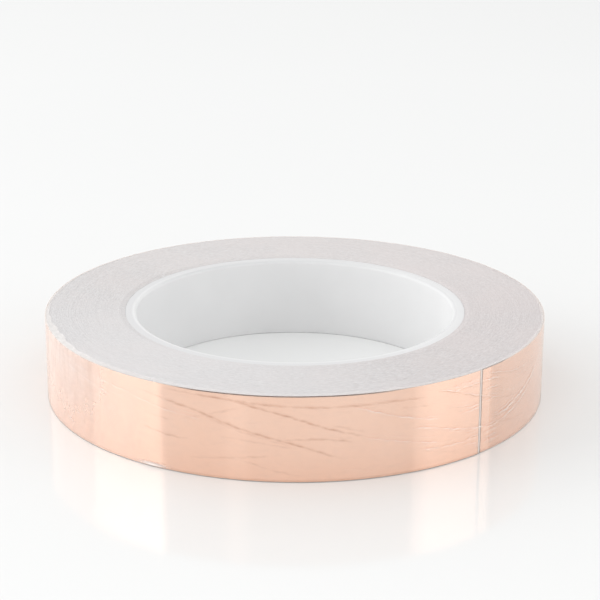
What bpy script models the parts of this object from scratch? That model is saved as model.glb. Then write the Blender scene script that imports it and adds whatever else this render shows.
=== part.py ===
"""Copper foil tape roll: a 20 mm wide adhesive copper foil tape on a 3 inch plastic core.

The roll stands on its core, with its axis along +Z through the origin and the floor at z = 0.
The tape's last turn, its free end and the packing film round it are separate shells, and the
free ends turn outwards about one upright line on the film's outer surface.
"""

import math

import bpy

MM = 0.001

# Roll, in millimetres
ROLL_RADIUS = 60.0
TAPE_WIDTH = 19.8
TAPE_LIFT = 0.35
CORE_BORE_RADIUS = 38.1
CORE_WALL = 2.4
CORE_LENGTH = 19.8
CORE_LIP_RADIUS = 0.7
CORE_CLEARANCE = 0.5

# Thin webs: their solids are thicker than the real webs, and keep this gap to each other
WEB_THICKNESS = 0.15
WEB_GAP = 0.15

# Film lips folded over both rims
FILM_LIP = 1.2

# Strip of double-sided tape between the core and the first turn
BOND_THICKNESS = 0.2
BOND_LENGTH = 30.0
BOND_WIDTH = 17.0
BOND_ANGLE = -60.0

# Free ends: angles in degrees about +Z from +X, rising anticlockwise seen from above
FOIL_TIP_ANGLE = -46.6
END_SPAN = 21.6
LINER_OVERHANG_ANGLE = 0.6
FILM_OVERHANG_ANGLE = 3.3
END_GAP = 0.3

# The last turn starts one tape thickness lower, just past the free end, and climbs from there
STEP_DOWN = 0.3
STEP_RAMP_ANGLE = 60.0

FACET_ANGLE = 3.0
LIP_SEGMENTS = 3

# Radii that follow from the stack, from the film inwards
FILM_INNER = ROLL_RADIUS - WEB_THICKNESS
FOIL_OUTER = FILM_INNER - WEB_GAP
FOIL_INNER = FOIL_OUTER - WEB_THICKNESS
ADHESIVE_OUTER = FOIL_INNER - WEB_GAP
ADHESIVE_INNER = ADHESIVE_OUTER - WEB_THICKNESS
LINER_OUTER = ADHESIVE_INNER - WEB_GAP
LINER_INNER = LINER_OUTER - WEB_THICKNESS
PACK_OUTER = LINER_INNER - WEB_GAP
CORE_OUTER = CORE_BORE_RADIUS + CORE_WALL
PACK_INNER = CORE_OUTER + CORE_CLEARANCE

TAPE_BOTTOM = TAPE_LIFT
TAPE_TOP = TAPE_LIFT + TAPE_WIDTH
FILM_BOTTOM = TAPE_BOTTOM - WEB_GAP - WEB_THICKNESS
FILM_TOP = TAPE_TOP + WEB_GAP + WEB_THICKNESS

END_GAP_ANGLE = math.degrees(END_GAP / ROLL_RADIUS)
HINGE_ANGLE = FOIL_TIP_ANGLE - END_SPAN
LINER_TIP_ANGLE = FOIL_TIP_ANGLE + LINER_OVERHANG_ANGLE
FILM_TIP_ANGLE = FOIL_TIP_ANGLE + FILM_OVERHANG_ANGLE
FIXED_END_ANGLE = HINGE_ANGLE - END_GAP_ANGLE
TURN_START_ANGLE = LINER_TIP_ANGLE + END_GAP_ANGLE
FILM_START_ANGLE = FILM_TIP_ANGLE + END_GAP_ANGLE

COLORS = {
    "core_plastic": ((0.90, 0.90, 0.90), 0.35, 0.0),
    "bond_tape": ((0.85, 0.83, 0.76), 0.5, 0.0),
    "tape_edge": ((0.72, 0.68, 0.66), 0.7, 0.0),
    "liner_paper": ((0.88, 0.86, 0.80), 0.8, 0.0),
    "adhesive": ((0.90, 0.86, 0.72), 0.2, 0.0),
    "copper_foil": ((0.93, 0.62, 0.46), 0.18, 1.0),
    "clear_film": ((0.95, 0.95, 0.95), 0.08, 0.0),
}


def clear_scene():
    for old in list(bpy.data.objects):
        bpy.data.objects.remove(old, do_unlink=True)


def new_collection(name):
    collection = bpy.data.collections.new(name)
    bpy.context.scene.collection.children.link(collection)
    return collection


def make_material(name):
    color, roughness, metallic = COLORS[name]
    material = bpy.data.materials.new(name)
    material.use_nodes = True
    shader = material.node_tree.nodes["Principled BSDF"]
    shader.inputs["Base Color"].default_value = (*color, 1.0)
    shader.inputs["Roughness"].default_value = roughness
    shader.inputs["Metallic"].default_value = metallic
    if name == "clear_film":
        shader.inputs["Alpha"].default_value = 0.3
    return material


def add_object(name, data, collection, material):
    part = bpy.data.objects.new(name, data)
    data.materials.append(material)
    collection.objects.link(part)
    return part


def arc_angles(start, end):
    """Angles from start to end in degrees, about FACET_ANGLE apart, both ends included."""
    count = max(1, round((end - start) / FACET_ANGLE))
    return [start + (end - start) * i / count for i in range(count + 1)]


def polar(radius, angle):
    """A point in metres at a radius in millimetres and an angle in degrees."""
    a = math.radians(angle)
    return (radius * MM * math.cos(a), radius * MM * math.sin(a))


def step_at(angle):
    """How much lower the last turn lies at an angle, being lowest where it starts."""
    travel = (angle - LINER_TIP_ANGLE) / STEP_RAMP_ANGLE
    if travel < 0.0 or travel >= 1.0:
        return 0.0
    return STEP_DOWN * (1.0 - travel * travel * (3.0 - 2.0 * travel))


def level(angle):
    return 0.0


def extruded_outline(name, outlines, bottom, top, collection, material):
    """A flat outline of closed loops in the XY plane, extruded from bottom to top."""
    curve = bpy.data.curves.new(name, "CURVE")
    curve.dimensions = "2D"
    curve.fill_mode = "BOTH"
    curve.extrude = (top - bottom) * MM / 2.0
    for points in outlines:
        spline = curve.splines.new("POLY")
        spline.points.add(len(points) - 1)
        spline.use_cyclic_u = True
        for point, (x, y) in zip(spline.points, points):
            point.co = (x, y, 0.0, 1.0)
    part = add_object(name, curve, collection, material)
    part.location.z = (top + bottom) * MM / 2.0
    return part


def web_band(name, outer, start, end, drop, collection, material):
    """One web of the tape from start to end, its outer surface lowered by drop(angle)."""
    angles = arc_angles(start, end)
    outline = [polar(outer - drop(a), a) for a in angles]
    outline += [polar(outer - WEB_THICKNESS - drop(a), a) for a in reversed(angles)]
    return extruded_outline(name, [outline], TAPE_BOTTOM, TAPE_TOP, collection, material)


def profile_object(name, points, edges, collection, material):
    """A profile in the XZ plane, from (radius, height) points in millimetres."""
    mesh = bpy.data.meshes.new(name)
    mesh.from_pydata([(r * MM, 0.0, z * MM) for r, z in points], edges, [])
    return add_object(name, mesh, collection, material)


def add_screw(part, sweep):
    """Turns the profile about Z by sweep degrees."""
    screw = part.modifiers.new("Turn", "SCREW")
    screw.axis = "Z"
    screw.angle = math.radians(sweep)
    screw.steps = round(sweep / FACET_ANGLE)
    screw.render_steps = screw.steps
    screw.use_merge_vertices = True
    screw.merge_threshold = 0.00005
    screw.use_smooth_shade = True
    return screw


def lip_arc(center_r, center_z, start, end):
    """Points of a rounded lip, from start to end in degrees in the profile's plane."""
    points = []
    for i in range(LIP_SEGMENTS + 1):
        a = math.radians(start + (end - start) * i / LIP_SEGMENTS)
        r = center_r + CORE_LIP_RADIUS * math.cos(a)
        z = center_z + CORE_LIP_RADIUS * math.sin(a)
        points.append((r, z))
    return points


def make_core(collection):
    """The plastic tube, with a rounded lip at each of its four edges."""
    outer = CORE_OUTER - CORE_LIP_RADIUS
    inner = CORE_BORE_RADIUS + CORE_LIP_RADIUS
    high = CORE_LENGTH - CORE_LIP_RADIUS
    low = CORE_LIP_RADIUS
    points = lip_arc(outer, high, 90.0, 0.0)
    points += lip_arc(outer, low, 0.0, -90.0)
    points += lip_arc(inner, low, -90.0, -180.0)
    points += lip_arc(inner, high, 180.0, 90.0)
    count = len(points)
    edges = [(i, (i + 1) % count) for i in range(count)]
    material = make_material("core_plastic")
    core = profile_object("core", points, edges, collection, material)
    add_screw(core, 360.0)
    return core


def make_bond_strip(collection):
    """The strip that holds the first turn to the core, in the middle of the gap."""
    middle = (CORE_OUTER + PACK_INNER) / 2.0
    half_sweep = math.degrees(BOND_LENGTH / middle) / 2.0
    angles = arc_angles(BOND_ANGLE - half_sweep, BOND_ANGLE + half_sweep)
    outline = [polar(middle + BOND_THICKNESS / 2.0, a) for a in angles]
    outline += [polar(middle - BOND_THICKNESS / 2.0, a) for a in reversed(angles)]
    bottom = (TAPE_BOTTOM + TAPE_TOP - BOND_WIDTH) / 2.0
    material = make_material("bond_tape")
    return extruded_outline(
        "core_bond_strip", [outline], bottom, bottom + BOND_WIDTH, collection, material
    )


def make_wound_tape(collection):
    """All the turns but the last, with the step that the last turn's end leaves on top."""
    angles = arc_angles(LINER_TIP_ANGLE, LINER_TIP_ANGLE + 360.0)
    outer = [polar(PACK_OUTER - step_at(a), a) for a in angles]
    inner = [polar(PACK_INNER, a) for a in angles[:-1]]
    material = make_material("tape_edge")
    return extruded_outline(
        "wound_tape", [outer, inner], TAPE_BOTTOM, TAPE_TOP, collection, material
    )


def make_outer_turn(collection, materials):
    """The fixed part of the last turn: liner, adhesive and foil, from the step to the hinge."""
    end = FIXED_END_ANGLE + 360.0
    webs = (
        ("outer_turn_liner", LINER_OUTER, "liner_paper"),
        ("outer_turn_adhesive", ADHESIVE_OUTER, "adhesive"),
        ("outer_turn_foil", FOIL_OUTER, "copper_foil"),
    )
    for name, outer, slot in webs:
        web_band(name, outer, TURN_START_ANGLE, end, step_at, collection, materials[slot])


def film_shell(name, start, end, collection, material):
    """Film round the rim from start to end, with a lip folded over both rims."""
    lip = ROLL_RADIUS - FILM_LIP
    points = [(lip, FILM_TOP), (ROLL_RADIUS, FILM_TOP), (ROLL_RADIUS, FILM_BOTTOM)]
    points.append((lip, FILM_BOTTOM))
    edges = [(i, i + 1) for i in range(len(points) - 1)]
    film = profile_object(name, points, edges, collection, material)
    film.rotation_euler.z = math.radians(start)
    add_screw(film, end - start)
    shell = film.modifiers.new("Thickness", "SOLIDIFY")
    shell.thickness = WEB_THICKNESS * MM
    shell.offset = -1.0
    shell.use_even_offset = True
    shell.use_rim = True
    return film


def hinge_empty(name, collection):
    """An empty on the line that the free ends turn about."""
    empty = bpy.data.objects.new(name, None)
    empty.empty_display_size = 0.01
    x, y = polar(ROLL_RADIUS, HINGE_ANGLE)
    empty.location = (x, y, 0.0)
    collection.objects.link(empty)
    return empty


def hang_on(parent, part):
    """Parents a part to an empty and leaves it where it is."""
    part.parent = parent
    part.location.x -= parent.location.x
    part.location.y -= parent.location.y


def make_free_ends(collection, materials):
    """The free ends of the liner, of the foil with its adhesive, and of the film."""
    hinge = hinge_empty("free_end_hinge", collection)
    start = HINGE_ANGLE
    liner = web_band(
        "tape_end_liner", LINER_OUTER, start, LINER_TIP_ANGLE, level,
        collection, materials["liner_paper"],
    )
    adhesive = web_band(
        "tape_end_adhesive", ADHESIVE_OUTER, start, FOIL_TIP_ANGLE, level,
        collection, materials["adhesive"],
    )
    foil = web_band(
        "tape_end_foil", FOIL_OUTER, start, FOIL_TIP_ANGLE, level,
        collection, materials["copper_foil"],
    )
    film = film_shell(
        "overwrap_film_end", start, FILM_TIP_ANGLE, collection, materials["clear_film"]
    )
    for part in (liner, adhesive, foil, film):
        hang_on(hinge, part)


def main():
    clear_scene()
    collection = new_collection("copper_foil_tape_roll")
    slots = ("liner_paper", "adhesive", "copper_foil", "clear_film")
    materials = {slot: make_material(slot) for slot in slots}
    make_core(collection)
    make_bond_strip(collection)
    make_wound_tape(collection)
    make_outer_turn(collection, materials)
    film_end = FIXED_END_ANGLE + 360.0
    film_shell(
        "overwrap_film", FILM_START_ANGLE, film_end, collection, materials["clear_film"]
    )
    make_free_ends(collection, materials)


main()
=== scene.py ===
"""Looks of the copper foil tape roll: fine meshes, procedural materials, studio and camera.

Lengths are in millimetres, except where a comment says metres, and angles in degrees,
anticlockwise from +X seen from above. Heights, the rim's radius and the free end's angles come
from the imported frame.
"""

import math

import bpy
import numpy as np
from mathutils import Matrix, Vector


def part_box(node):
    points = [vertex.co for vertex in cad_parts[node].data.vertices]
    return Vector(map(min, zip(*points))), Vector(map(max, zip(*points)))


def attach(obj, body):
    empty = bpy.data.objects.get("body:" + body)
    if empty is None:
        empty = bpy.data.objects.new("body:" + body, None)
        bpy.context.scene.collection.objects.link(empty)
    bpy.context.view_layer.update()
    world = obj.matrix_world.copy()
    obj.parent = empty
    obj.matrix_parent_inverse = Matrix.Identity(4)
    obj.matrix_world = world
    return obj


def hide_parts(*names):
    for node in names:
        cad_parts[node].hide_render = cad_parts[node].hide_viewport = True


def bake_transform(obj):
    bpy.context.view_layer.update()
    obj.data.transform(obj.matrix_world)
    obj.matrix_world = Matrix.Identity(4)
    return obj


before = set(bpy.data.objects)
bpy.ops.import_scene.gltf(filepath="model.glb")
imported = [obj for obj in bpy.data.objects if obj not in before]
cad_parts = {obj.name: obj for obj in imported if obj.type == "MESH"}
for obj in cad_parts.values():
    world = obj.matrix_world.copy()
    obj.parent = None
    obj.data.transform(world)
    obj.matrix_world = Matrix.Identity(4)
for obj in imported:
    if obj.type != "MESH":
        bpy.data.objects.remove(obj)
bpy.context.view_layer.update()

MM = 0.001

# ---------------------------------------------------------------- places, from the frame


def node_angles(name):
    """Lowest and highest angle of a CAD node that spans less than half a turn."""
    co = np.array([v.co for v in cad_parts[name].data.vertices])
    angles = np.degrees(np.arctan2(co[:, 1], co[:, 0]))
    return float(angles.min()), float(angles.max())


ROLL_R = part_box("overwrap_film")[1].x / MM
TAPE_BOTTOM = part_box("wound_tape")[0].z / MM
TAPE_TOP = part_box("wound_tape")[1].z / MM
CORE_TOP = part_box("core")[1].z / MM
FILM_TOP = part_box("overwrap_film")[1].z / MM
HINGE, FOIL_TIP = node_angles("tape_end_foil")
LINER_TIP = node_angles("tape_end_liner")[1]
FILM_TIP = node_angles("overwrap_film_end")[1]

# The core: bore and outer radius, the radii of its corners, and the barrelling of its bore.
CORE_BORE = 38.1
CORE_R = 40.8
CORE_FOOT_LIP = 0.28
CORE_TOP_LIP = 0.8
CORE_CORNER = 0.06
CORE_DRAFT = 0.05

# Outer radii and thicknesses of the film and of the last turn's webs, with the gap that keeps
# each web clear of the next, and the winding's radii and the thickness of each of its turns.
WEB_GAP = 0.005
FILM_R = ROLL_R - 0.16
FILM_T = 0.03
FOIL_R = ROLL_R - 0.27
FOIL_T = 0.035
ADHESIVE_R = FOIL_R - FOIL_T - WEB_GAP
ADHESIVE_T = 0.035
LINER_R = ADHESIVE_R - ADHESIVE_T - WEB_GAP
LINER_T = 0.065
PACK_R = LINER_R - LINER_T - WEB_GAP
PACK_IN = 40.83
TURN_PITCH = 0.125

# Heights of the outer turns' top edge, before it slips, and of the last turn's lower edge.
RIM_TOP = TAPE_TOP - 0.03
WEB_BOTTOM = TAPE_BOTTOM - 0.22

# The last turn lies STEP lower where it starts, and rises over STEP_RAMP degrees. The free end is
# cut into pieces BEND degrees long, which is BEND_LENGTH along the rim, from its hinge on.
STEP = 0.13
STEP_RAMP = 55.0
BEND_LENGTH = 4.0
BEND = math.degrees(BEND_LENGTH / ROLL_R)
LINER_BEND_END = HINGE + BEND
FOIL_BEND_END = HINGE + 2 * BEND

# The liner's free end stops at OVERHANG_END. The last turn's webs start SEAM_GAP degrees past
# that, and end at the hinge, one turn on.
OVERHANG_END = LINER_TIP - 0.1
SEAM_GAP = 0.15
TURN_START = OVERHANG_END + SEAM_GAP
TURN_END = HINGE + 360.0

# Spacing of the steps of the webs and the film along the rim, the rows up each of them, the
# winding's steps in degrees, and the width of the strip of painted shade at a cut end.
SPACING = 0.55
FILM_ROWS = 122
WEB_ROWS = 14
WINDING_STEP = 1.2
SHADE_STRIP_WIDTH = 0.16

# ---------------------------------------------------------------- meshes


def smooth(x):
    """0 up to x = 0, 1 from x = 1, and a smooth rise between them."""
    x = np.clip(x, 0.0, 1.0)
    return x * x * (3.0 - 2.0 * x)


def make_object(name, verts, faces, slots=None, sharp=40.0):
    """A mesh object from points in millimetres; slots gives each face's material index."""
    mesh = bpy.data.meshes.new(name)
    mesh.from_pydata(np.asarray(verts) * MM, [], faces)
    mesh.validate()
    if slots is not None:
        mesh.polygons.foreach_set("material_index", np.asarray(slots, np.int32))
    mesh.shade_smooth()
    mesh.set_sharp_from_angle(angle=math.radians(sharp))
    obj = bpy.data.objects.new(name, mesh)
    bpy.context.scene.collection.objects.link(obj)
    return obj


def swept(name, loops, ring, sharp=40.0, slots=None):
    """Sweeps closed section loops, shaped (steps, points, 3), round the roll's axis.

    A loop runs down the outside and back up the inside. ring joins the last loop to the
    first; otherwise both ends are capped. slots is a material index for each step of the
    section.
    """
    steps, points = loops.shape[:2]
    index = np.arange(steps * points).reshape(steps, points)
    near = index if ring else index[:-1]
    far = np.roll(index, -1, axis=0) if ring else index[1:]
    quads = np.stack(
        [near, np.roll(near, -1, axis=1), np.roll(far, -1, axis=1), far], axis=-1
    ).reshape(-1, 4)
    face_slots = None
    if slots is not None:
        face_slots = np.tile(np.asarray(slots), len(near))
    faces = quads.tolist()
    if not ring:
        faces += [index[0].tolist(), index[-1][::-1].tolist()]
        if face_slots is not None:
            face_slots = np.append(face_slots, (0, 0))
    return make_object(name, loops.reshape(-1, 3), faces, face_slots, sharp)


def section_loops(angles, radii, heights):
    """Loops of points from angles (steps,) and radii and heights (steps, points)."""
    a = np.radians(angles)[:, None]
    return np.stack([radii * np.cos(a), radii * np.sin(a), heights + 0.0 * radii], axis=-1)


def angle_steps(start, end):
    """Angles from start to end, about SPACING millimetres apart on the roll's rim."""
    count = max(2, round(math.radians(end - start) * ROLL_R / SPACING))
    return np.linspace(start, end, count + 1)


def around(angles):
    """The same angles, counted from -270 to 90, so that the front and sides are negative."""
    return (angles + 270.0) % 360.0 - 270.0


def wave(angles, seed, lowest, highest, count=7):
    """A smooth random curve round the roll, about -1 to 1, that closes on itself."""
    rng = np.random.default_rng(seed)
    total = np.zeros_like(angles)
    for turns in rng.integers(lowest, highest + 1, count):
        total += rng.uniform(0.4, 1.0) * np.sin(
            np.radians(angles) * turns + rng.uniform(0, 2 * np.pi)
        )
    return total / math.sqrt(count)


def turn_drop(angles):
    """How much lower the last turn lies where it starts, just past the free end."""
    travel = (angles - OVERHANG_END) / STEP_RAMP
    return np.where((travel >= 0) & (travel < 1), STEP * (1.0 - smooth(travel)), 0.0)


def no_drop(angles):
    """No drop: the free end keeps its full radius."""
    return np.zeros_like(angles)


def front_share(angles):
    """1 at the roll's front, falling smoothly to about 0 at its sides and back."""
    return np.exp(-(((around(angles) + 90.0) / 52.0) ** 2))


def rim_drop(angles):
    """How far the outer turns have slipped down the roll, in millimetres: most at the front."""
    return 0.06 + 0.22 * front_share(angles) + 0.015 * wave(angles, 17, 3, 30)


def bare_rim(angles):
    """Extra height that the last turn's top edge lacks, at the front and where it starts."""
    place = around(angles)
    front = 0.2 * smooth((place + 118.0) / 8.0) * smooth((-64.0 - place) / 8.0)
    start = 0.16 * smooth((place - OVERHANG_END) / 0.3) * smooth((-34.0 - place) / 7.0)
    return front + start


# ---------------------------------------------------------------- creases of the film

# Long creases: strength, tone, then the (angle, height) points each one runs through.
# Tone is -1 for a line of painted shade, 1 for a painted highlight and 0 for a line with a side of
# each.
LONG_CREASES = (
    (1.1, -1, (-126, 17.9), (-111, 15.3), (-101, 11.9), (-89, 8.6), (-78, 4.5)),
    (1.1, -1, (-120, 19.1), (-103, 18.4), (-91, 15.2), (-83, 12.3), (-74, 9.7)),
    (1.0, 1, (-76, 10.0), (-66, 7.6), (-55, 5.2)),
    (0.9, -1, (-106, 18.8), (-99, 17.9), (-83, 17.1), (-68, 17.3), (-60, 16.9)),
    (1.2, 1, (-80, 18.0), (-74, 15.8), (-68, 13.8), (-62, 12.2), (-57, 11.3)),
    (1.0, 0, (-60, 18.5), (-54, 16.8), (-46, 13.7), (-39, 11.4)),
    (1.0, 0, (-57, 16.6), (-51, 17.1), (-46, 17.2), (-38, 16.2)),
    (1.2, 1, (-66, 10.6), (-61, 10.0), (-54, 8.1), (-47, 6.6), (-42, 5.9)),
    (1.0, 1, (-64, 5.4), (-58, 4.6), (-52, 4.4), (-46, 4.6)),
    (1.8, 0, (-43, 7.2), (-37, 7.8), (-30, 9.8), (-24, 11.6), (-15, 16.1)),
    (1.4, 0, (-41, 5.4), (-34, 7.0), (-27, 9.2), (-20, 12.0)),
    (0.9, 0, (-46, 19.1), (-35, 16.4), (-27, 15.6)),
    (0.8, -1, (-93, 9.8), (-84, 10.0), (-77, 9.0)),
    (0.7, -1, (-124, 9.4), (-117, 8.3), (-112, 8.2)),
    (0.9, 1, (-170, 18.9), (-155, 17.3), (-142, 15.6), (-130, 13.8)),
    (0.8, 1, (-160, 19.2), (-148, 17.9), (-136, 16.9), (-122, 15.8)),
    (0.7, 1, (-128, 16.2), (-118, 14.2), (-108, 13.2)),
    (1.0, -1, (18, 17.6), (38, 14.6), (60, 12.2), (84, 7.2)),
    (0.9, 1, (58, 18.4), (80, 15.6), (104, 13.4)),
    (1.0, -1, (112, 5.4), (134, 8.2), (152, 11.8), (172, 13.6)),
    (1.0, 0, (-16, 4.6), (2, 7.6), (22, 9.2)),
    (0.9, -1, (96, 17.2), (124, 16.4), (146, 17.4)),
    (0.9, 0, (140, 4.2), (160, 5.6), (180, 9.4), (196, 10.6)),
)


def crease_line(points, count=12):
    """Points along straight runs between (angle, height) pairs, unrolled, wandering a little."""
    corners = np.array([[math.radians(a) * ROLL_R, z] for a, z in points])
    along = np.linspace(0.0, len(corners) - 1.0, count * (len(corners) - 1) + 1)
    knots = np.arange(len(corners))
    line = np.stack([np.interp(along, knots, corners[:, k]) for k in (0, 1)], axis=-1)
    for _ in range(3):
        line[1:-1] = (line[:-2] + 2.0 * line[1:-1] + line[2:]) / 4.0
    phase = corners[0, 0] * 3.0
    line[:, 1] += 0.09 * np.sin(line[:, 0] * 1.9 + phase) + 0.05 * np.sin(line[:, 0] * 4.3)
    return line


def companions():
    """Fainter, shorter lines that run beside the long creases."""
    rng = np.random.default_rng(57)
    made = []
    for size, tone, *points in LONG_CREASES:
        for _ in range(2):
            shift = rng.choice([-1.0, 1.0]) * rng.uniform(0.35, 0.95)
            lean = rng.uniform(-0.35, 0.35)
            last = len(points) - 1
            beside = [(a, z + shift + lean * i) for i, (a, z) in enumerate(points)]
            first = int(rng.integers(0, last)) if last > 1 else 0
            made.append((size * rng.uniform(0.25, 0.5), tone, *beside[first : first + 3]))
    return made


def short_creases():
    """Seeded shorter creases all round, and nearly level ones across the free end's step."""
    rng = np.random.default_rng(41)
    made = []
    for _ in range(90):
        angle = rng.uniform(-180.0, 180.0)
        height = rng.uniform(2.0, 19.4)
        length = rng.uniform(5.0, 24.0)
        fall = rng.choice([-1.0, 1.0], p=[0.62, 0.38]) * rng.uniform(0.05, 0.36) * length
        bow = rng.uniform(-0.5, 0.5)
        points = []
        for share, lift in ((0.0, 0.0), (0.5, bow), (1.0, 0.0)):
            z = min(max(height + fall * share + lift, 1.0), 20.0)
            points.append((angle + math.degrees(length * share / ROLL_R), z))
        tone = -1 if -135.0 < angle < -85.0 else rng.integers(-1, 2)
        made.append((rng.uniform(0.12, 0.5), tone, *points))
    for _ in range(24):
        angle = LINER_TIP + rng.uniform(-9.0, 1.0)
        height = rng.uniform(1.5, 19.5)
        span = rng.uniform(3.0, 9.0)
        tilt = rng.uniform(-0.5, 0.5)
        points = [(angle + span * s, height + tilt * s) for s in (0.0, 0.5, 1.0)]
        made.append((rng.uniform(0.5, 1.0), rng.integers(0, 2), *points))
    return made


# Half-widths of a crease's ridge and of the painted shade beside it, the height of a ridge, and a
# pale crease's share of that height.
RIDGE_WIDTH = 0.19
SHADE_WIDTH = 0.7
RIDGE_HEIGHT = 0.07
PALE_HEIGHT = 0.08


def nearest_on(line, points):
    """Each point's distance to a line, its place along it from 0 to 1, and its side of it."""
    best = np.full(len(points), 1e9)
    along = np.zeros(len(points))
    which = np.zeros(len(points))
    for i in range(len(line) - 1):
        d = line[i + 1] - line[i]
        t = np.clip(((points - line[i]) @ d) / (d @ d), 0.0, 1.0)
        offset = points - (line[i] + t[:, None] * d)
        gap = np.hypot(offset[:, 0], offset[:, 1])
        closer = gap < best
        best = np.where(closer, gap, best)
        along = np.where(closer, (i + t) / (len(line) - 1), along)
        which = np.where(closer, np.sign(d[0] * offset[:, 1] - d[1] * offset[:, 0]), which)
    return best, along, which


def crease_strength(size, along, length, start):
    """A crease's strength along its length: it fades at both ends, and swells and thins."""
    taper = np.clip(np.sin(np.pi * along) * 1.8, 0.0, 1.0)
    swell = 0.68 + 0.22 * np.sin(along * length * 0.9 + start[0])
    swell += 0.16 * np.sin(along * length * 2.7 + start[1])
    return size * taper * swell


def crease_field(angles, heights):
    """Ridge height, from 0 up, and painted light, shade below 0 and highlight above it, at each
    point.
    """
    s = np.radians(angles) * ROLL_R
    ridge = np.zeros_like(s)
    side = np.zeros_like(s)
    turn = 2.0 * math.pi * ROLL_R
    for size, tone, *points in [*LONG_CREASES, *companions(), *short_creases()]:
        line = crease_line(points)
        reach = 2.2 * SHADE_WIDTH
        centre = (line[0, 0] + line[-1, 0]) / 2.0
        local = (s - centre + turn / 2.0) % turn - turn / 2.0 + centre
        near = (local > line[:, 0].min() - reach) & (local < line[:, 0].max() + reach)
        near &= (heights > line[:, 1].min() - reach) & (heights < line[:, 1].max() + reach)
        if not near.any():
            continue
        places = np.stack([local[near], heights[near]], axis=-1)
        best, along, which = nearest_on(line, places)
        strength = crease_strength(size, along, line[-1, 0] - line[0, 0], points[0])
        bump = strength * np.exp(-((best / RIDGE_WIDTH) ** 2))
        # Painted light: the line is painted highlight for tone 1 and painted shade for tone -1,
        # with painted shade beside it on one side; tone 0 has painted shade on one side and
        # painted highlight on the other.
        if tone:
            broad = strength * np.exp(-((best / SHADE_WIDTH) ** 2)) * (which > 0)
            lean = 0.42 * tone * bump - 0.13 * np.maximum(broad - bump, 0.0)
        else:
            lean = which * bump * best / RIDGE_WIDTH
        ridge[near] = np.maximum(ridge[near], bump * (PALE_HEIGHT if tone > 0 else 1.0))
        strongest = np.abs(lean) > np.abs(side[near])
        side[near] = np.where(strongest, lean, side[near])
    return ridge, side


# ---------------------------------------------------------------- pieces


def film_lips(angles):
    """Radii and heights of the film's folds over both rims, in the section's order."""
    share = np.linspace(1.0, 0.0, 6)
    crumple = np.exp(-(((around(angles) + 158.0) / 14.0) ** 2))
    crumple += 0.5 * np.exp(-(((around(angles) + 128.0) / 12.0) ** 2))
    width = 0.75 + 0.3 * wave(angles, 3, 9, 60) + 1.1 * crumple
    lift = 0.05 + 0.02 * wave(angles, 7, 20, 90) + 0.08 * crumple
    ripple = wave(angles, 11, 60, 160)[:, None] * np.sin(share * 7.0)[None, :]
    top_r = FILM_R - 0.05 - share * np.clip(width, 0.15, 2.4)[:, None]
    top_z = TAPE_TOP + np.clip(lift, 0.015, 0.2)[:, None] * (0.6 + 0.4 * share)
    top_z = top_z - rim_drop(angles)[:, None] * smooth(1.15 - share)
    top_z = top_z + 0.05 * np.clip(ripple, -0.6, 1.0) * (0.3 + crumple[:, None])
    low_width = np.clip(0.5 + 0.2 * wave(angles, 5, 9, 40), 0.1, 1.0)
    low_r = FILM_R - 0.04 - share[::-1] * low_width[:, None]
    low_z = TAPE_BOTTOM - 0.265 + 0.015 * wave(angles, 19, 15, 70)[:, None] + 0.0 * share
    return top_r, top_z, low_r, low_z


def film_lifted(angles, heights):
    """1 where the film's lower edge has come off the tape, at the front left, and 0 elsewhere."""
    place = np.exp(-(((around(angles) + 121.0) / 3.0) ** 2))
    return place * smooth((TAPE_BOTTOM + 1.0 - heights) / 0.9)


def film_painted_light(angles, heights, side):
    """Painted light on the film's wall: its creases, and painted shade at its foot and beside the
    free end.
    """
    foot = np.exp(-(((heights - TAPE_BOTTOM - 0.1) / 0.25) ** 2))
    step = np.exp(-(((around(angles) - OVERHANG_END - 0.4) / 0.8) ** 2))
    return side - 0.2 * foot - 0.09 * step


def mark_outside(film, loops, key, *parts):
    """Stores a value at each point of a film piece's outer side, under key, and 0 inside.

    The parts are the values on the upper fold, the wall and the lower fold.
    """
    outside = np.concatenate(parts, axis=1)
    values = np.zeros(loops.shape[:2], np.float32)
    values[:, : outside.shape[1]] = outside
    film.data.attributes.new(key, "FLOAT", "POINT").data.foreach_set("value", values.ravel())


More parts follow.
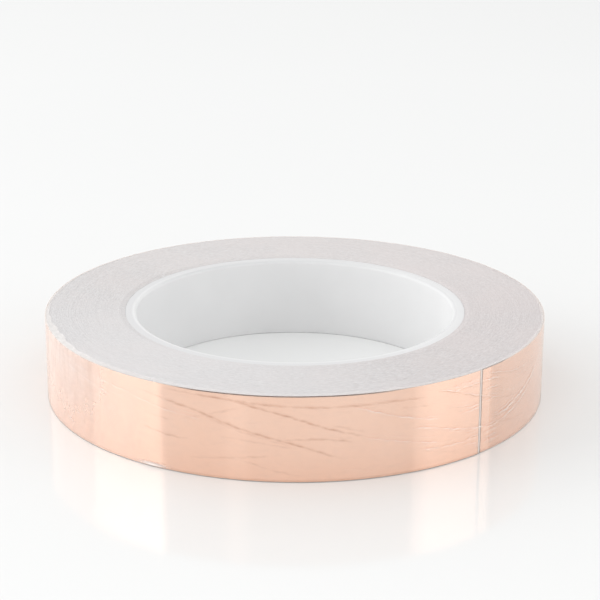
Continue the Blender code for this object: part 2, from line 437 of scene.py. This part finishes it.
def film_piece(name, start, end):
    """Part of the film as a thin closed shell with a fold over each rim and raised creases."""
    angles = angle_steps(start, end)
    a = angles[:, None]
    top_r, top_z, low_r, low_z = film_lips(angles)
    wall = np.linspace(RIM_TOP, WEB_BOTTOM, FILM_ROWS)[None, :]
    z = wall - rim_drop(a) * smooth((wall - TAPE_TOP + 3.0) / 3.0)
    ridge, side = crease_field(np.broadcast_to(a, z.shape), z)
    sag = 0.35 * turn_drop(angles) * smooth((angles - FILM_TIP + 2.0) / 3.0)
    base = (FILM_R + 0.015 * wave(angles, 13, 5, 30) - sag)[:, None]
    lifted = film_lifted(a, z)
    outer_r = np.concatenate([top_r, base + RIDGE_HEIGHT * ridge + 0.12 * lifted, low_r], axis=1)
    outer_z = np.concatenate([top_z, z, low_z], axis=1)
    outer_r = np.minimum(outer_r, ROLL_R - 0.012)
    outer_z = np.clip(outer_z, 0.04, FILM_TOP - 0.02)
    inner_wall = np.linspace(TAPE_BOTTOM - 0.15, TAPE_TOP - 0.4, 8)
    inner_r = [low_r[:, ::-1] - 0.01, base + 0.0 * inner_wall - FILM_T, top_r[:, ::-1] - 0.01]
    inner_z = [low_z[:, ::-1] + FILM_T, inner_wall + 0.0 * base, top_z[:, ::-1] - FILM_T]
    loops = section_loops(
        angles,
        np.concatenate([outer_r, *inner_r], axis=1),
        np.concatenate([outer_z, *inner_z], axis=1),
    )
    outside = outer_r.shape[1]
    film = swept(name, loops, False, 65.0, [0] * outside + [1] * (loops.shape[1] - outside))
    fold = 0.5 * smooth((TAPE_BOTTOM - 0.05 - z) / 0.15) + 2.2 * lifted * (z > TAPE_BOTTOM + 0.1)
    none = np.zeros_like(top_r)
    mark_outside(film, loops, "crease", none, ridge, none)
    mark_outside(film, loops, "crease_side", none, film_painted_light(a, z, side), none)
    mark_outside(film, loops, "lip", none + 0.4, fold, none + 1.2)
    return film


def web_piece(name, outer, thickness, start, end, drop, cut=None):
    """A web of the tape as a thin closed band; drop(angles) lowers it towards the axis.

    cut is "start" or "end" where that end gets a strip of painted shade, the second material.
    """
    angles = angle_steps(start, end)
    if cut:
        angles = np.sort(np.append(angles, start + SHADE_STRIP_WIDTH if cut == "start" else end - SHADE_STRIP_WIDTH))
    rows = np.linspace(1.0, 0.0, WEB_ROWS)
    top = (TAPE_TOP - 0.06 - rim_drop(angles) - bare_rim(angles))[:, None]
    bottom = (WEB_BOTTOM + 0.08 * front_share(angles))[:, None]
    z = bottom + (top - bottom) * rows[None, :]
    r = (outer - drop(angles))[:, None] + 0.0 * z
    loops = section_loops(
        angles,
        np.concatenate([r, (r - thickness)[:, ::-1]], axis=1),
        np.concatenate([z, z[:, ::-1]], axis=1),
    )
    web = swept(name, loops, False)
    if cut:
        shade_strip = np.zeros(len(web.data.polygons), np.int32)
        strips = shade_strip[:-2].reshape(len(loops) - 1, -1)
        strips[0 if cut == "start" else -1] = 1
        shade_strip[-2 if cut == "start" else -1] = 1
        web.data.polygons.foreach_set("material_index", shade_strip)
    return web


def edge_depths(rng, angles, turns):
    """How far each turn's edge lies in from the end face, all round it."""
    each = rng.uniform(0.0, 1.0, turns)
    slow = np.convolve(rng.uniform(-1.0, 1.0, turns + 8), np.ones(9) / 4.0, "valid")
    wobble = rng.uniform(0.3, 1.0, turns) * 0.012
    phase = rng.uniform(0.0, 2.0 * np.pi, turns)
    count = rng.integers(2, 9, turns)
    depth = 0.035 * each + 0.03 * (slow - slow.min())
    z = depth[None, :] + wobble * np.sin(np.radians(angles) * count + phase)
    return np.clip(z, 0.0, 0.2)


def winding():
    """All the turns but the last: each turn's edge has its own height on both end faces."""
    angles = np.arange(0.0, 360.0, WINDING_STEP) + LINER_TIP
    turns = np.arange(PACK_IN, PACK_R, TURN_PITCH)
    a = angles[:, None]
    rng = np.random.default_rng(23)
    spiral = turns[None, :] + TURN_PITCH * ((a - LINER_TIP) / 360.0)
    spiral = PACK_IN + (spiral - PACK_IN) * (PACK_R - PACK_IN) / (turns[-1] + TURN_PITCH - PACK_IN)
    top = TAPE_TOP - edge_depths(rng, a, len(turns))
    low = TAPE_BOTTOM + edge_depths(rng, a, len(turns))
    rim_z = RIM_TOP - rim_drop(angles)[:, None]
    top = top + smooth((spiral - PACK_R + 2.2) / 2.0) * (rim_z - top)
    first_turns = 1.0 - smooth((spiral - PACK_IN) / 1.5)
    top = top + first_turns * (CORE_TOP + 0.03 - top)
    low = low - 0.2 * smooth((spiral - PACK_R + 1.0) / 0.8)
    edge = (PACK_R - turn_drop(angles))[:, None]
    top_r = np.minimum(spiral, edge - 0.02)
    side_z = np.array([[1.0, 0.975, 0.8, 0.5, 0.2, 0.0]])
    outer_z = low[:, -1:] + (top[:, -1:] - low[:, -1:]) * side_z
    inner_z = low[:, :1] + (top[:, :1] - low[:, :1]) * side_z[:, ::-1]
    radii = [top_r, edge + 0.0 * outer_z, top_r[:, ::-1], PACK_IN - 0.01 + 0.0 * inner_z]
    heights = [top, outer_z, low[:, ::-1], inner_z]
    loops = section_loops(angles, np.concatenate(radii, axis=1), np.concatenate(heights, axis=1))
    # Slot 2, the top step of the pack's outer wall, is a strip of painted shade under the film's
    # lip.
    sides = [0] * len(turns) + [2] + [1] * 4
    sides += [0] * (loops.shape[1] - len(sides))
    return swept("tape_winding", loops, True, sharp=60.0, slots=sides)


def core_tube():
    """The moulded core: rounded lips and a bore that is a little barrelled by its draft."""
    rows = np.linspace(0.0, 1.0, 14)[1:-1]
    outer_height = CORE_TOP - CORE_CORNER - CORE_FOOT_LIP
    bore_height = CORE_TOP - CORE_TOP_LIP - CORE_FOOT_LIP
    section = []

    def corner(r, z, lip, start, end):
        """Adds a rounded corner of radius lip about (r, z)."""
        for t in np.linspace(math.radians(start), math.radians(end), 9):
            section.append((r + lip * math.cos(t), z + lip * math.sin(t)))

    corner(CORE_R - CORE_CORNER, CORE_TOP - CORE_CORNER, CORE_CORNER, 90.0, 0.0)
    section.extend((CORE_R, CORE_TOP - CORE_CORNER - outer_height * t) for t in rows)
    corner(CORE_R - CORE_FOOT_LIP, CORE_FOOT_LIP, CORE_FOOT_LIP, 0.0, -90.0)
    corner(CORE_BORE + CORE_FOOT_LIP, CORE_FOOT_LIP, CORE_FOOT_LIP, -90.0, -180.0)
    for t in rows:
        bulge = CORE_DRAFT * math.sin(math.pi * t)
        section.append((CORE_BORE + bulge, CORE_FOOT_LIP + bore_height * t))
    corner(CORE_BORE + CORE_TOP_LIP, CORE_TOP - CORE_TOP_LIP, CORE_TOP_LIP, 180.0, 90.0)
    section = np.array(section)
    angles = np.arange(0.0, 360.0, 1.0)
    ones = np.ones((len(angles), 1))
    loops = section_loops(angles, ones * section[:, 0], ones * section[:, 1])
    return swept("core_tube", loops, True, sharp=50.0)


# ---------------------------------------------------------------- materials


class Nodes:
    """A material's node tree, with short calls to add and link nodes."""

    def __init__(self, name):
        self.material = bpy.data.materials.new(name)
        self.material.use_nodes = True
        self.tree = self.material.node_tree
        self.tree.nodes.clear()
        self.output = self.tree.nodes.new("ShaderNodeOutputMaterial")

    def add(self, kind, settings=None, **inputs):
        """A new node; an input's name has _ for a space, or is in0, in1 and so on."""
        node = self.tree.nodes.new("ShaderNode" + kind)
        for key, value in (settings or {}).items():
            setattr(node, key, value)
        for key, value in inputs.items():
            self.put(node, key.replace("_", " "), value)
        return node

    def put(self, node, key, value):
        """Sets an input to a value, or links another node's output to it."""
        socket = node.inputs[int(key[2:])] if key.startswith("in") else node.inputs[key]
        if isinstance(value, bpy.types.NodeSocket):
            self.tree.links.new(value, socket)
        else:
            socket.default_value = value

    def math(self, operation, a, b=0.0, c=0.0, clamp=False):
        node = self.add("Math", {"operation": operation, "use_clamp": clamp})
        for i, value in enumerate((a, b, c)):
            self.put(node, f"in{i}", value)
        return node.outputs[0]

    def vector(self, x, y, z):
        return self.add("CombineXYZ", X=x, Y=y, Z=z).outputs[0]

    def ramp(self, value, *stops):
        """A colour from value, through (place, colour) stops."""
        node = self.add("ValToRGB")
        elements = node.color_ramp.elements
        while len(elements) < len(stops):
            elements.new(0.5)
        for element, (place, color) in zip(elements, stops):
            element.position = place
            element.color = rgb(*color)
        self.put(node, "Fac", value)
        return node.outputs[0]

    def noise(self, vector, scale, detail=2.0, roughness=0.5):
        node = self.add("TexNoise", Vector=vector, Scale=scale, Detail=detail)
        node.inputs["Roughness"].default_value = roughness
        return node.outputs[0]

    def range(self, value, low, high, from_low=0.0, from_high=1.0):
        """low where value is from_low, high where it is from_high, and held past both."""
        node = self.add("MapRange")
        values = (value, from_low, from_high, low, high)
        for key, number in zip(("Value", "From Min", "From Max", "To Min", "To Max"), values):
            self.put(node, key, number)
        return node.outputs[0]

    def mix_color(self, factor, a, b):
        """Colour a where factor is 0 and b where it is 1."""
        node = self.add("Mix", {"data_type": "RGBA"})
        self.put(node, "in0", factor)
        self.put(node, "in6", a)
        self.put(node, "in7", b)
        return node.outputs[2]

    def bump(self, height, strength, distance):
        node = self.add("Bump", Height=height, Strength=strength, Distance=distance)
        return node.outputs[0]

    def polar(self):
        """Object position, its radius, the unit vector away from the axis, and its height."""
        place = self.add("TexCoord").outputs["Object"]
        split = self.add("SeparateXYZ", Vector=place)
        x, y, z = split.outputs
        squares = self.math("ADD", self.math("MULTIPLY", x, x), self.math("MULTIPLY", y, y))
        radius = self.math("SQRT", squares)
        cos_a = self.math("DIVIDE", x, radius)
        sin_a = self.math("DIVIDE", y, radius)
        return place, radius, cos_a, sin_a, z

    def finish(self, shader):
        self.tree.links.new(shader, self.output.inputs["Surface"])
        return self.material


def rgb(red, green, blue):
    return (red, green, blue, 1.0)


def core_plastic():
    """White moulded plastic: faint cloudiness, fine grain, satin gloss and painted shade on its
    top end.
    """
    n = Nodes("core_plastic")
    place, radius, cos_a, sin_a, height = n.polar()
    cloud = n.noise(place, 60.0, 3.0)
    moulded = n.ramp(cloud, (0.3, (0.775, 0.775, 0.777)), (0.7, (0.81, 0.81, 0.812)))
    # Painted shade on the top end: on the flat top and at the back, less towards the right, and on
    # the right's rounded inner lip, where the left light would show a highlight.
    flat = n.range(radius, 0.0, 1.0, (CORE_BORE + 0.6) * MM, (CORE_BORE + 1.3) * MM)
    behind = n.range(sin_a, 0.0, 1.0, 0.2, 0.8)
    rim = n.range(height, 0.0, 1.0, (CORE_TOP - 0.6) * MM, (CORE_TOP - 0.2) * MM)
    fade = n.range(cos_a, 1.0, 0.45, 0.2, 0.8)
    painted_shade = n.math("MULTIPLY", n.math("MAXIMUM", flat, behind), fade)
    right = n.math("MULTIPLY", n.range(cos_a, 0.0, 0.8, 0.5, 0.9), n.math("SUBTRACT", 1.0, flat))
    painted_shade = n.math("MULTIPLY", n.math("MAXIMUM", painted_shade, right), rim)
    color = n.mix_color(painted_shade, moulded, rgb(0.685, 0.685, 0.69))
    grain = n.noise(place, 2600.0, 2.0)
    rough = n.range(n.noise(place, 240.0, 2.0), 0.42, 0.55)
    normal = n.bump(grain, 0.12, 0.00004)
    shader = n.add("BsdfPrincipled", Base_Color=color, Roughness=rough, Normal=normal, IOR=1.49)
    return n.finish(shader.outputs[0])


def tape_edges():
    """End faces of the winding: paper edges with a copper line at every turn, and painted light by
    side.
    """
    n = Nodes("tape_edges")
    place, radius, cos_a, sin_a, _ = n.polar()
    ring = n.vector(
        n.math("MULTIPLY", cos_a, 0.03),
        n.math("MULTIPLY", sin_a, 0.03),
        n.math("MULTIPLY", radius, 3.0),
    )
    streaks = n.noise(ring, 1500.0, 3.0, 0.6)
    grain = n.noise(place, 2200.0, 3.0, 0.7)
    cloud = n.noise(place, 70.0, 2.0)
    turn = n.math("FRACT", n.math("DIVIDE", radius, TURN_PITCH * MM))
    copper_line = n.math("LESS_THAN", turn, 0.2)
    paper = n.ramp(streaks, (0.32, (0.49, 0.48, 0.485)), (0.68, (0.715, 0.715, 0.72)))
    speckled = n.mix_color(n.range(grain, 0.0, 0.5, 0.45, 0.75), paper, rgb(0.47, 0.465, 0.47))
    warm = n.mix_color(n.range(cloud, 0.0, 0.4, 0.35, 0.65), speckled, rgb(0.66, 0.62, 0.615))
    share = n.math("MULTIPLY", copper_line, 0.3)
    lined = n.mix_color(share, warm, rgb(0.78, 0.56, 0.47))
    # Painted sheen: pinker towards the right. Painted light: whiter towards the front left.
    painted_sheen_right = n.range(cos_a, 0.0, 0.3, 0.1, 0.95)
    tinted = n.mix_color(painted_sheen_right, lined, rgb(0.66, 0.575, 0.565))
    across = n.math("MULTIPLY_ADD", sin_a, -0.75, n.math("MULTIPLY", cos_a, -0.66))
    painted_light_front_left = n.range(across, 0.0, 0.5, 0.3, 1.0)
    pale = n.mix_color(painted_light_front_left, tinted, rgb(0.72, 0.71, 0.715))
    # Painted light: lighter towards the back.
    behind = n.range(sin_a, 0.0, 0.3, 0.0, 0.8)
    color = n.mix_color(behind, pale, rgb(0.74, 0.70, 0.69))
    relief = n.math("MULTIPLY_ADD", grain, 0.6, streaks)
    normal = n.bump(relief, 0.8, 0.0001)
    shader = n.add("BsdfPrincipled", Base_Color=color, Normal=normal, Roughness=0.72)
    return n.finish(shader.outputs[0])


def slit_edge():
    """Painted shade on the foil's cut edges: brown at the front and past the free end, else paler.

    It follows the cosine alone, so the back is like the front.
    """
    n = Nodes("slit_edge")
    place, _, cos_a, _, _ = n.polar()
    shade_strip = n.noise(place, 900.0, 3.0)
    dark = n.ramp(shade_strip, (0.3, (0.16, 0.10, 0.08)), (0.7, (0.30, 0.20, 0.165)))
    pale = n.ramp(shade_strip, (0.3, (0.42, 0.33, 0.28)), (0.7, (0.56, 0.46, 0.41)))
    # Darkest at the front, for the shade in the gap under the film's lip.
    left = n.range(cos_a, 1.0, 0.0, -0.36, -0.5)
    right = n.range(cos_a, 1.0, 0.0, 0.2, 0.36)
    share = n.math("MINIMUM", left, right)
    # Painted shade for the shadow at the free end's step, where the last turn starts: cosines of
    # 0.705 to 0.805, which is 45 to 36 degrees before +X.
    start = n.math("LESS_THAN", n.math("ABSOLUTE", n.math("SUBTRACT", cos_a, 0.755)), 0.05)
    share = n.math("MAXIMUM", share, n.math("MULTIPLY", start, 0.8))
    color = n.mix_color(n.math("SUBTRACT", 1.0, share, clamp=True), dark, pale)
    shader = n.add("BsdfPrincipled", Base_Color=color, Roughness=0.5, Metallic=0.3)
    return n.finish(shader.outputs[0])


def liner_paper():
    """Release liner: off-white paper with fibres and the sheen of its silicone coat."""
    n = Nodes("liner_paper")
    place = n.add("TexCoord").outputs["Object"]
    fibres = n.noise(n.add("Mapping", Vector=place, Scale=(1.0, 1.0, 5.0)).outputs[0], 900.0, 5.0)
    color = n.ramp(fibres, (0.3, (0.88, 0.80, 0.75)), (0.7, (0.93, 0.87, 0.83)))
    rough = n.range(n.noise(place, 300.0), 0.42, 0.6)
    normal = n.bump(fibres, 0.3, 0.00003)
    shader = n.add("BsdfPrincipled", Base_Color=color, Roughness=rough, Normal=normal)
    shader.inputs["Metallic"].default_value = 0.3
    return n.finish(shader.outputs[0])


def copper_foil():
    """Bright rolled copper: rolling lines along the tape and a faint unevenness."""
    n = Nodes("copper_foil")
    place, _, cos_a, sin_a, height = n.polar()
    along = n.vector(
        n.math("MULTIPLY", cos_a, 0.02),
        n.math("MULTIPLY", sin_a, 0.02),
        height,
    )
    lines = n.noise(along, 2500.0, 3.0, 0.6)
    cloud = n.noise(place, 45.0, 3.0)
    color = n.ramp(cloud, (0.3, (0.935, 0.632, 0.492)), (0.7, (0.96, 0.668, 0.532)))
    rough = n.range(lines, 0.07, 0.15)
    wavy = n.noise(place, 120.0, 2.0)
    fine = n.bump(lines, 0.08, 0.00001)
    normal = n.add("Bump", Height=wavy, Strength=0.12, Distance=0.00012, Normal=fine).outputs[0]
    shader = n.add("BsdfPrincipled", Base_Color=color, Roughness=rough, Normal=normal)
    shader.inputs["Metallic"].default_value = 1.0
    return n.finish(shader.outputs[0])


def reflectance(n, head_on):
    """How much one side of a clear, limp sheet reflects: more at a glancing angle."""
    facing = n.add("LayerWeight", Blend=0.5).outputs["Facing"]
    rise = n.math("POWER", facing, 5.0)
    return n.math("MULTIPLY_ADD", rise, 0.3, head_on)


def film_inside():
    """The film's inner side: clear, with hardly any haze."""
    n = Nodes("film_inside")
    place = n.add("TexCoord").outputs["Object"]
    clear = n.add("BsdfTransparent")
    clear.inputs["Color"].default_value = rgb(1.0, 1.0, 1.0)
    white = n.add("BsdfDiffuse", Color=rgb(0.95, 0.95, 0.95))
    out = n.add("MixShader")
    n.put(out, "in0", n.range(n.noise(place, 420.0), 0.0, 0.01, 0.45, 0.75))
    n.put(out, "in1", clear.outputs[0])
    n.put(out, "in2", white.outputs[0])
    return n.finish(out.outputs[0])


def film_haze(n, place, fine):
    """Whitish haze: stronger where the film is crumpled, high on the left, and at the right; high
    on the left it is partly painted highlight.
    """
    x, y, z = n.add("SeparateXYZ", Vector=place).outputs
    left = n.range(x, 0.0, 1.0, -0.038, -0.05)
    fades = n.range(x, 1.0, 0.4, -0.054, -0.0595)
    band = n.range(x, 0.0, 0.16, -0.024, -0.036)
    high = n.range(z, 0.25, 1.0, 0.004, 0.016)
    right = n.range(x, 0.0, 0.17, 0.034, 0.05)
    upright = n.add("Mapping", Vector=place, Scale=(1.0, 1.0, 0.35)).outputs[0]
    mottle = n.range(n.noise(upright, 520.0, 2.0), 0.9, 1.1, 0.35, 0.65)
    patch = n.math("MULTIPLY", n.math("MULTIPLY", left, fades), high)
    crumpled = n.math("MULTIPLY", n.math("MULTIPLY_ADD", patch, 0.25, band), mottle)
    front = n.range(y, 1.0, 0.0, -0.008, 0.014)
    base = n.range(fine, 0.0, 0.035, 0.45, 0.75)
    extra = n.math("MULTIPLY", n.math("ADD", crumpled, right), front)
    return n.math("ADD", base, extra)


def clear_film():
    """Clear packing film: reflections, haze, and lines of painted shade and painted highlight at
    its creases.
    """
    n = Nodes("clear_film")
    place = n.add("TexCoord").outputs["Object"]
    crease = n.add("Attribute", {"attribute_name": "crease"}).outputs["Fac"]
    side = n.add("Attribute", {"attribute_name": "crease_side"}).outputs["Fac"]
    lip = n.add("Attribute", {"attribute_name": "lip"}).outputs["Fac"]
    # Painted shade: less light passes where the crease value is below 0.
    shade = n.range(side, 0.0, 1.0, -0.03, -0.48)
    tint = n.mix_color(shade, rgb(1.0, 1.0, 1.0), rgb(0.85, 0.785, 0.75))
    clear = n.add("BsdfTransparent", Color=tint)
    fine = n.noise(n.add("Mapping", Vector=place, Scale=(1.0, 1.0, 2.2)).outputs[0], 420.0, 3.0)
    normal = n.bump(fine, 0.06, 0.00008)
    gloss = n.add("BsdfGlossy", Roughness=0.14, Normal=normal)
    gloss.inputs["Color"].default_value = rgb(1.0, 0.885, 0.81)
    sheet = n.add("MixShader")
    # Painted highlight: more reflection where the crease value is above 0.
    glint = n.range(side, 0.0, 0.7, 0.02, 0.4)
    n.put(sheet, "in0", n.math("ADD", reflectance(n, 0.035), glint, clamp=True))
    n.put(sheet, "in1", clear.outputs[0])
    n.put(sheet, "in2", gloss.outputs[0])
    white = n.add("BsdfDiffuse", Color=rgb(0.97, 0.945, 0.925))
    milky = n.math("MULTIPLY_ADD", lip, 0.4, film_haze(n, place, fine))
    milky = n.math("MULTIPLY_ADD", crease, 0.03, milky, clamp=True)
    out = n.add("MixShader")
    n.put(out, "in0", milky)
    n.put(out, "in1", sheet.outputs[0])
    n.put(out, "in2", white.outputs[0])
    return n.finish(out.outputs[0])


def adhesive():
    """Clear tacky acrylic: glossy, with faint bubbles."""
    n = Nodes("clear_adhesive")
    place = n.add("TexCoord").outputs["Object"]
    bubbles = n.noise(place, 900.0, 3.0)
    normal = n.bump(bubbles, 0.35, 0.00004)
    clear = n.add("BsdfTransparent", Color=rgb(0.97, 0.93, 0.85))
    gloss = n.add("BsdfGlossy", Roughness=0.16, Normal=normal)
    mixed = n.add("MixShader")
    n.put(mixed, "in0", reflectance(n, 0.05))
    n.put(mixed, "in1", clear.outputs[0])
    n.put(mixed, "in2", gloss.outputs[0])
    body = n.add("BsdfDiffuse", Color=rgb(0.86, 0.80, 0.66))
    out = n.add("MixShader")
    n.put(out, "in0", n.range(bubbles, 0.05, 0.25, 0.4, 0.8))
    n.put(out, "in1", mixed.outputs[0])
    n.put(out, "in2", body.outputs[0])
    return n.finish(out.outputs[0])


def bond_tape():
    """Double-sided tape: matte tissue with a criss-cross grain."""
    n = Nodes("bond_tape")
    place = n.add("TexCoord").outputs["Object"]
    tissue = n.noise(place, 1400.0, 4.0)
    color = n.ramp(tissue, (0.3, (0.70, 0.67, 0.58)), (0.7, (0.84, 0.82, 0.74)))
    normal = n.bump(tissue, 0.4, 0.00004)
    shader = n.add("BsdfPrincipled", Base_Color=color, Normal=normal, Roughness=0.6)
    return n.finish(shader.outputs[0])


def floor_material():
    """White acrylic table: pale, with a soft mirror sheen."""
    n = Nodes("floor_acrylic")
    place = n.add("TexCoord").outputs["Object"]
    cloud = n.noise(place, 3.0, 2.0)
    color = n.ramp(cloud, (0.3, (0.847, 0.853, 0.849)), (0.7, (0.857, 0.863, 0.859)))
    shader = n.add("BsdfPrincipled", Base_Color=color, Roughness=0.09, IOR=1.5)
    return n.finish(shader.outputs[0])


# ---------------------------------------------------------------- studio

# Softboxes: name, azimuth, elevation, distance, width and height in metres, and radiance.
# Azimuth 0 is the camera's side and 90 is +X.
SOFTBOXES = (
    ("overhead", 0.0, 85.0, 1.5, 3.2, 3.2, 0.12),
    ("left", -81.4, 22.0, 1.4, 0.99, 0.9, 2.35),
    ("left_rear", -129.0, 22.0, 1.4, 1.19, 0.9, 1.22),
    ("right", 76.5, 20.0, 1.5, 1.12, 0.8, 0.84),
    ("right_core", 79.0, 20.0, 1.5, 0.98, 0.8, 0.6),
    ("right_rear", 132.0, 20.0, 1.5, 1.3, 0.8, 0.3),
    ("front", 5.0, 60.0, 1.6, 2.0, 0.8, 0.8),
    ("strip", -25.0, 20.0, 1.6, 0.24, 0.8, 0.35),
    ("back", 180.0, 20.0, 2.5, 4.0, 2.2, 0.16),
)

# Radiance of the white sky, and the floor's side in metres.
SKY = 0.71
FLOOR_SIZE = 6.0

# The camera's lens and sensor, its elevation and roll, and its distance from what it looks at.
CAMERA_LENS = 112.99
CAMERA_SENSOR = 36.0
CAMERA_ELEVATION = 18.27
CAMERA_ROLL = 0.28
CAMERA_DISTANCE = 453.9
CAMERA_TARGET = (1.22, 0.0, 21.63)


def floor():
    """The table that the roll lies on."""
    bpy.ops.mesh.primitive_plane_add(size=FLOOR_SIZE, location=(0.0, 0.0, 0.0))
    plane = bpy.context.object
    plane.name = "studio_floor"
    plane.data.materials.append(floor_material())


def softbox(name, azimuth, elevation, distance, width, height, radiance):
    """An area light that faces the roll."""
    light = bpy.data.lights.new(name, "AREA")
    light.shape = "RECTANGLE"
    light.size = width
    light.size_y = height
    light.energy = radiance * width * height * math.pi
    a, e = math.radians(azimuth), math.radians(elevation)
    back = Vector((math.sin(a) * math.cos(e), -math.cos(a) * math.cos(e), math.sin(e)))
    lamp = bpy.data.objects.new(name, light)
    lamp.location = back * distance
    lamp.rotation_euler = back.to_track_quat("Z", "Y").to_euler()
    bpy.context.scene.collection.objects.link(lamp)


def studio():
    """Sky, lights, and light paths long enough for copper that faces copper through film."""
    world = bpy.data.worlds.new("studio")
    world.use_nodes = True
    background = world.node_tree.nodes["Background"]
    background.inputs["Color"].default_value = (1.0, 1.0, 1.0, 1.0)
    background.inputs["Strength"].default_value = SKY
    scene = bpy.context.scene
    scene.world = world
    scene.view_settings.view_transform = "Standard"
    scene.cycles.max_bounces = 24
    scene.cycles.glossy_bounces = 10
    scene.cycles.transparent_max_bounces = 32
    for box in SOFTBOXES:
        softbox(*box)


def camera():
    """The photographed view: a long lens a little above the roll."""
    elevation = math.radians(CAMERA_ELEVATION)
    target = Vector(CAMERA_TARGET) * MM
    back = Vector((0.0, -math.cos(elevation), math.sin(elevation)))
    data = bpy.data.cameras.new("camera")
    data.lens = CAMERA_LENS
    data.sensor_width = CAMERA_SENSOR
    data.clip_start = 0.01
    data.clip_end = 20.0
    view = bpy.data.objects.new("camera", data)
    turn = back.to_track_quat("Z", "Y").to_matrix().to_4x4()
    roll = Matrix.Rotation(math.radians(CAMERA_ROLL), 4, "Z")
    place = Matrix.Translation(target + back * CAMERA_DISTANCE * MM)
    view.matrix_world = place @ turn @ roll
    bpy.context.scene.collection.objects.link(view)
    bpy.context.scene.camera = view


# ---------------------------------------------------------------- assembly


def bend(piece):
    """Bakes a piece's placement into its mesh."""
    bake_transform(piece)


def dress(piece, material, slot, *nodes):
    """Gives a piece its material, and hides the CAD nodes it stands in for; slot is not used."""
    piece.data.materials.append(material)
    if nodes:
        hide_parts(*nodes)
    return piece


def build_roll(foil, shade_strip):
    """The core, the bond strip and the winding."""
    core = dress(core_tube(), core_plastic(), "core_plastic", "core")
    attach(core, "roll")
    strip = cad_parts["core_bond_strip"]
    strip.data.materials.clear()
    strip.data.materials.append(bond_tape())

    pack = dress(winding(), tape_edges(), "tape_edge", "wound_tape")
    pack.data.materials.append(foil)
    pack.data.materials.append(shade_strip)
    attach(pack, "roll")


def build_liner(paper):
    """The last turn's liner, and the free end's."""
    slot = "liner_paper"
    turn = web_piece("last_turn_liner", LINER_R, LINER_T, TURN_START, TURN_END, turn_drop)
    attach(dress(turn, paper, slot, "outer_turn_liner"), "roll")
    tab = web_piece("liner_tab", LINER_R, LINER_T, HINGE, OVERHANG_END, no_drop)
    dress(tab, paper, slot, "tape_end_liner")
    bend(tab)


def build_web(web, outer, thick, material, slot, shade_strip=None):
    """A web of the last turn and its free end."""
    cut_start, cut_end = ("start", "end") if shade_strip else (None, None)
    turn = web_piece("last_turn_" + web, outer, thick, TURN_START, TURN_END, turn_drop, cut_start)
    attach(dress(turn, material, slot, "outer_turn_" + web), "roll")
    root = web_piece(web + "_tab_root", outer, thick, HINGE, LINER_BEND_END, no_drop)
    dress(root, material, slot)
    bend(root)
    tab = web_piece(web + "_tab", outer, thick, LINER_BEND_END, FOIL_TIP, no_drop, cut_end)
    dress(tab, material, slot, "tape_end_" + web)
    bend(tab)
    if shade_strip:
        turn.data.materials.append(shade_strip)
        tab.data.materials.append(shade_strip)


def build_film():
    """The film round the roll, and its loose end."""
    film, inside = clear_film(), film_inside()
    band = film_piece("film_band", FILM_TIP + SEAM_GAP, TURN_END)
    root = film_piece("film_tab_root", HINGE, LINER_BEND_END)
    middle = film_piece("film_tab_middle", LINER_BEND_END, FOIL_BEND_END)
    flap = film_piece("film_tab", FOIL_BEND_END, FILM_TIP)
    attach(dress(band, film, "clear_film", "overwrap_film"), "roll")
    dress(root, film, "clear_film")
    dress(middle, film, "clear_film")
    dress(flap, film, "clear_film", "overwrap_film_end")
    bend(root)
    bend(middle)
    bend(flap)
    for piece in (band, root, middle, flap):
        piece.data.materials.append(inside)


def build():
    """Every piece of the roll, from the core outwards."""
    foil, shade_strip = copper_foil(), slit_edge()
    build_roll(foil, shade_strip)
    build_liner(liner_paper())
    build_web("adhesive", ADHESIVE_R, ADHESIVE_T, adhesive(), "adhesive")
    build_web("foil", FOIL_R, FOIL_T, foil, "copper_foil", shade_strip)
    build_film()


build()
floor()
studio()
camera()
